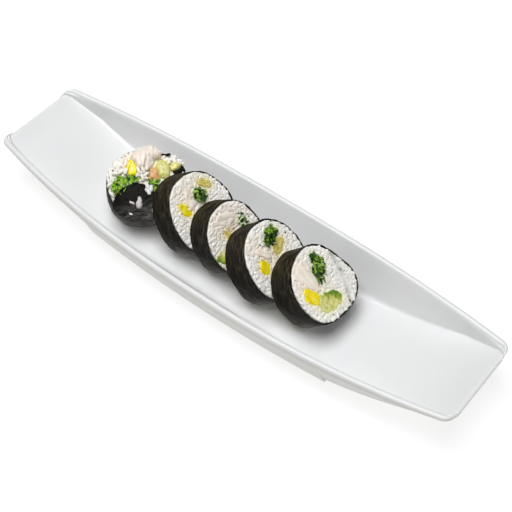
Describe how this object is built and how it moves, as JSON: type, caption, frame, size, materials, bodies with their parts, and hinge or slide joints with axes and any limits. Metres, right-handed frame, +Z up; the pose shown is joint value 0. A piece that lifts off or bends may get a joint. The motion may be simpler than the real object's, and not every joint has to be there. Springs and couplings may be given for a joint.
{
  "type": "maki sushi roll slices on a boat plate",
  "caption": "Thick maki roll cut in slices that lean on each other along a long white boat-shaped plate.",
  "frame": {"origin": "on the table, under the middle of the plate", "axes": "+X along the plate, the way the slices' faces look, +Y across it, +Z up"},
  "size_m": [0.36, 0.1014, 0.0585],
  "materials": {
    "plate": "white glazed porcelain",
    "nori": "dark toasted seaweed sheet",
    "rice": "moist cooked white rice",
    "greens": "chopped green leaves",
    "fish": "pale pink fish",
    "pickle": "moist yellow pickled radish",
    "cucumber": "moist cucumber flesh with green skin",
    "omelette": "pale yellow omelette",
    "carrot": "soft pale orange carrot",
    "avocado": "soft yellow-green avocado"
  },
  "bodies": {
    "root": {"plate": "plate", "slice_1_nori": "nori", "slice_1_flap": "nori", "slice_1_rice": "rice", "slice_1_greens_left": "greens", "slice_1_greens_middle": "greens", "slice_1_greens_right": "greens", "slice_1_pickle": "pickle", "slice_1_fish": "fish", "slice_1_carrot": "carrot", "slice_1_cucumber": "cucumber", "slice_1_avocado": "avocado", "slice_2_nori": "nori", "slice_2_rice": "rice", "slice_2_omelette": "omelette", "slice_2_greens": "greens", "slice_2_fish": "fish", "slice_2_pickle": "pickle", "slice_2_cucumber": "cucumber", "slice_3_nori": "nori", "slice_3_rice": "rice", "slice_3_fish": "fish", "slice_3_omelette": "omelette", "slice_3_greens": "greens", "slice_3_cucumber": "cucumber", "slice_4_nori": "nori", "slice_4_rice": "rice", "slice_4_greens": "greens", "slice_4_omelette": "omelette", "slice_4_pickle": "pickle", "slice_4_fish": "fish", "slice_4_cucumber": "cucumber", "slice_5_nori": "nori", "slice_5_rice": "rice", "slice_5_greens": "greens", "slice_5_fish": "fish", "slice_5_pickle": "pickle", "slice_5_cucumber": "cucumber"}
  },
  "joints": []
}
